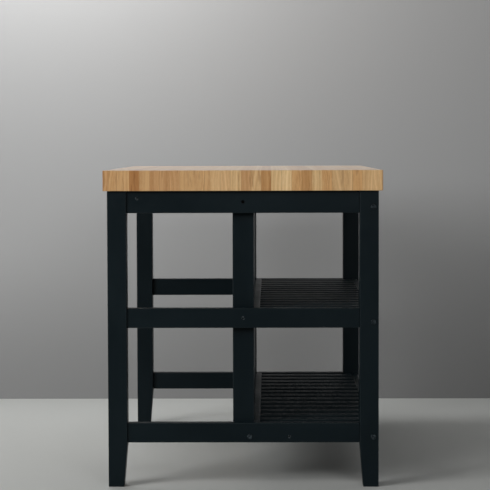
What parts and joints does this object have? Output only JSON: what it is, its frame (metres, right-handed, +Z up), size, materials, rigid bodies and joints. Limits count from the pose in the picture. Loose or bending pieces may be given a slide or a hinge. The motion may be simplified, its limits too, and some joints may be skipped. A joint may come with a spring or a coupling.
{
  "type": "butcher block table",
  "caption": "Rectangular table with a thick laminated wood worktop, a dark painted frame, a middle divider, an open knee space on one side and two slatted shelves on the other.",
  "frame": {"origin": "on the floor, under the middle of the worktop", "axes": "+X across the table towards the shelves, +Y along the table towards its back end, +Z up"},
  "size_m": [0.79, 1.26, 0.9],
  "materials": {
    "butcher_block": "oiled, satin",
    "painted_wood": "blue-black satin paint",
    "dowel_wood": "bare",
    "black_steel": "black, satin",
    "zinc_steel": "zinc plated"
  },
  "bodies": {
    "root": {"worktop": "butcher_block", "leg_front_left": "painted_wood", "leg_front_right": "painted_wood", "leg_back_left": "painted_wood", "leg_back_right": "painted_wood", "front_top_rail": "painted_wood", "front_middle_rail": "painted_wood", "front_bottom_rail": "painted_wood", "back_top_rail": "painted_wood", "back_middle_rail": "painted_wood", "back_bottom_rail": "painted_wood", "front_upright": "painted_wood", "back_upright": "painted_wood", "divider_top_rail": "painted_wood", "divider_middle_rail": "painted_wood", "divider_bottom_rail": "painted_wood", "upper_divider_panel": "painted_wood", "lower_divider_panel": "painted_wood", "side_top_rail": "painted_wood", "side_middle_rail": "painted_wood", "side_bottom_rail": "painted_wood", "knee_side_stretcher": "painted_wood", "lower_shelf_bearer": "painted_wood", "upper_inner_cleat": "painted_wood", "upper_outer_cleat": "painted_wood", "lower_inner_cleat": "painted_wood", "lower_outer_cleat": "painted_wood", "upper_slat_1": "painted_wood", "upper_slat_2": "painted_wood", "upper_slat_3": "painted_wood", "upper_slat_4": "painted_wood", "upper_slat_5": "painted_wood", "upper_slat_6": "painted_wood", "upper_slat_7": "painted_wood", "upper_slat_8": "painted_wood", "upper_slat_9": "painted_wood", "upper_slat_10": "painted_wood", "upper_slat_11": "painted_wood", "upper_slat_12": "painted_wood", "upper_slat_13": "painted_wood", "lower_slat_1": "painted_wood", "lower_slat_2": "painted_wood", "lower_slat_3": "painted_wood", "lower_slat_4": "painted_wood", "lower_slat_5": "painted_wood", "lower_slat_6": "painted_wood", "lower_slat_7": "painted_wood", "lower_slat_8": "painted_wood", "lower_slat_9": "painted_wood", "lower_slat_10": "painted_wood", "lower_slat_11": "painted_wood", "lower_slat_12": "painted_wood", "lower_slat_13": "painted_wood", "connector_bolts": "black_steel", "barrel_nuts": "zinc_steel", "dowels": "dowel_wood", "frame_screws": "black_steel", "worktop_screws": "zinc_steel", "shelf_screws": "zinc_steel"}
  },
  "joints": []
}
